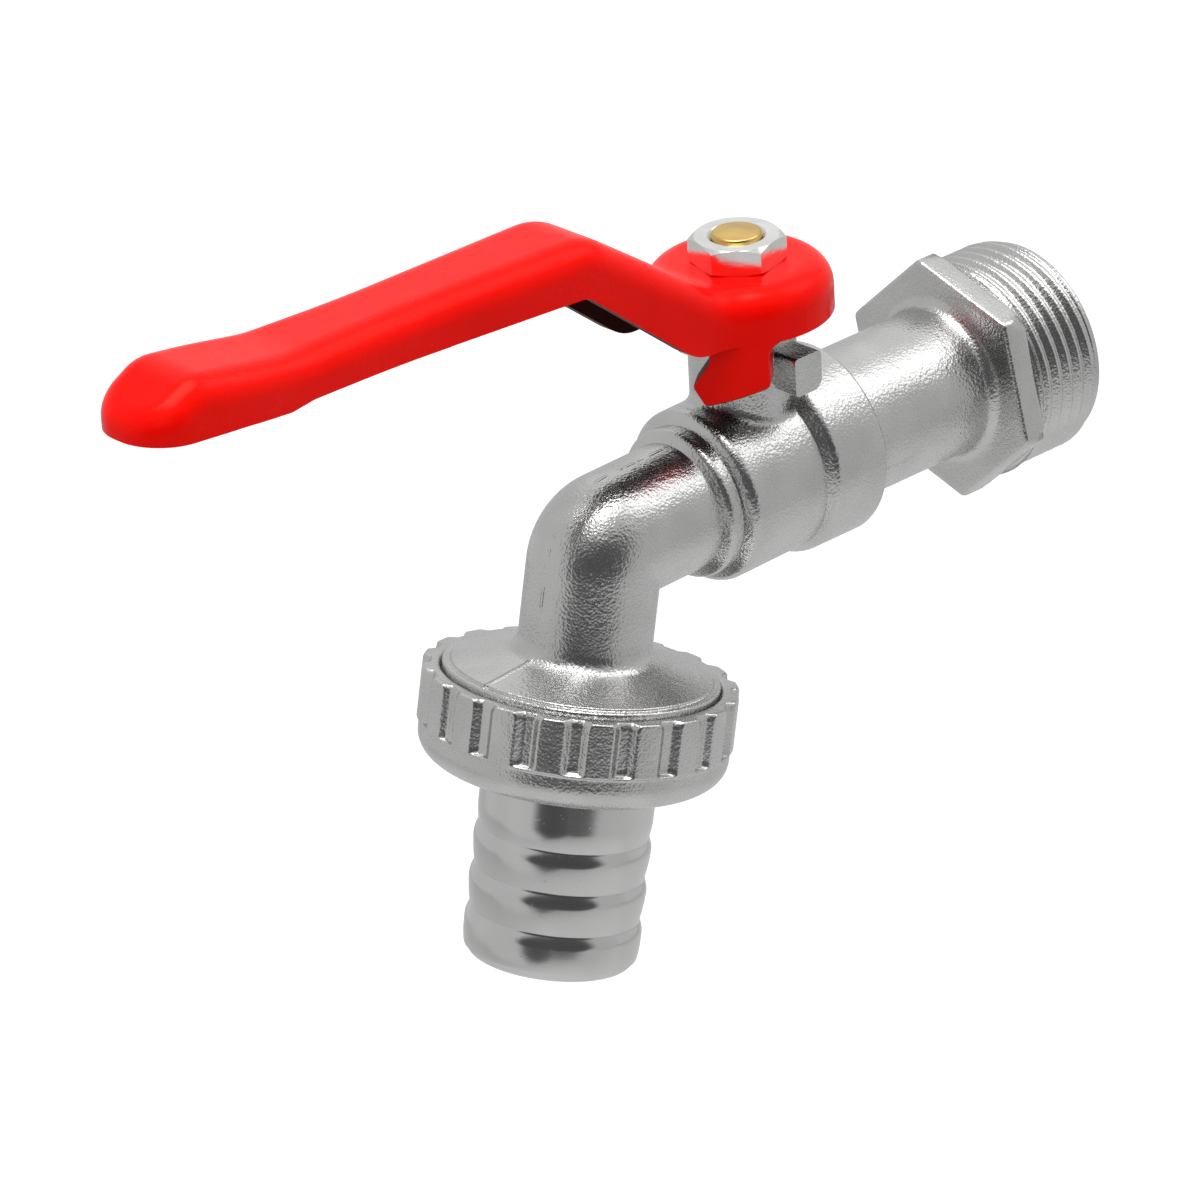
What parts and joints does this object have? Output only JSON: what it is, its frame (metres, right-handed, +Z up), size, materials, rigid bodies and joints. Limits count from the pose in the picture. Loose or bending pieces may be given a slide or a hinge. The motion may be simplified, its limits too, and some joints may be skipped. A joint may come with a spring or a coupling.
{
  "type": "hose tap",
  "caption": "Wall-mounted quarter-turn hose tap: threaded inlet with hexagon, ball valve with long lever, down-turned spout, notched union nut and barbed hose tail.",
  "frame": {"origin": "centre of the inlet connector's end face, on the inlet's axis", "axes": "+Y along the inlet's axis into the wall fitting, +Z up along the valve stem, the lever at rest towards -Y"},
  "size_m": [0.0372, 0.1411, 0.0956],
  "materials": {
    "plated_casting": "cast brass with bright nickel plate over its sand texture",
    "plated_turning": "turned brass, smooth bright nickel plate",
    "bright_steel": "bright zinc-plated steel",
    "stem_brass": "turned bare brass",
    "red_coating": "pressed steel, thick glossy red coating",
    "seat_plastic": "white low-friction plastic",
    "seal_rubber": "black rubber"
  },
  "bodies": {
    "tap_body": {"tap_body": "plated_casting", "inlet_connector": "plated_casting", "inlet_seat": "seat_plastic", "outlet_seat": "seat_plastic"},
    "lever": {"lever": "red_coating", "lever_nut": "bright_steel", "stem": "stem_brass", "ball": "plated_turning", "stem_washer": "seat_plastic", "lower_stem_ring": "seal_rubber", "upper_stem_ring": "seal_rubber"},
    "hose_tail": {"hose_tail": "plated_turning", "union_gasket": "seal_rubber"},
    "union_nut": {"union_nut": "plated_casting"}
  },
  "joints": [
    {"name": "lever_turn", "type": "hinge", "parent": "tap_body", "child": "lever", "pos_m": [0, -0.04656, 0], "axis": [0, 0, 1], "range_deg": [-90, 0]},
    {"name": "union_drop", "type": "slide", "parent": "tap_body", "child": "hose_tail", "axis": [0, -0.2198, -0.9755], "range_m": [0, 0.00924]},
    {"name": "nut_turn", "type": "hinge", "parent": "hose_tail", "child": "union_nut", "pos_m": [0, -0.07103, 0], "axis": [0, -0.2198, -0.9755], "range_deg": [0, 1440]}
  ],
  "couplings": [
    {"joint": "union_drop", "follows": "nut_turn", "m_per_rad": 0.0003675}
  ]
}
